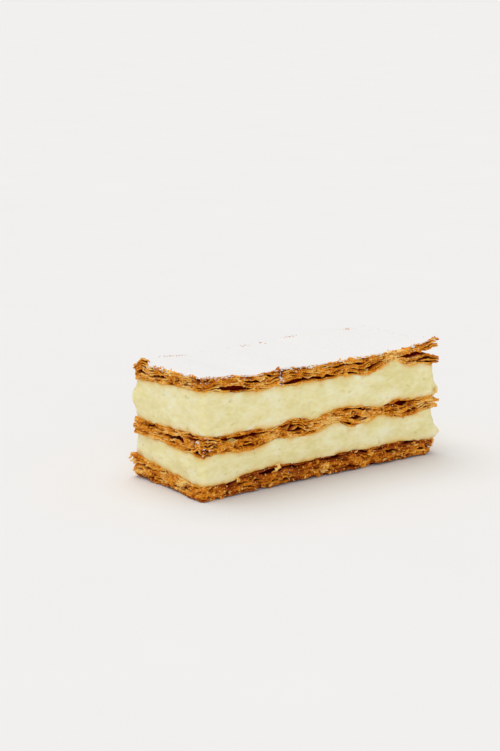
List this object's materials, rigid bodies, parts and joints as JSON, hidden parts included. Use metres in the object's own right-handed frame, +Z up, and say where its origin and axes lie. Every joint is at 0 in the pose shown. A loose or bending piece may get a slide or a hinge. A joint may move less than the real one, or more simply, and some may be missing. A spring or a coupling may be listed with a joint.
{
  "type": "mille feuille slice",
  "caption": "Bar-shaped mille feuille slice: wavy puff pastry sheets with thick custard cream between them, flat underneath.",
  "frame": {"origin": "centre of the slice's footprint, on the surface that it stands on", "axes": "+X along the long cut side, +Y across the bar to the back, +Z up"},
  "size_m": [0.1226, 0.0482, 0.0504],
  "materials": {
    "puff_pastry": "baked golden-brown flaky puff pastry, dry and matt with buttery glints",
    "custard_cream": "pale yellow custard cream, soft, satin and slightly translucent",
    "icing_sugar": "matt white powder"
  },
  "bodies": {
    "root": {"pastry_base": "puff_pastry", "cream_lower": "custard_cream", "pastry_middle": "puff_pastry", "cream_upper": "custard_cream", "pastry_top": "puff_pastry"}
  },
  "joints": []
}
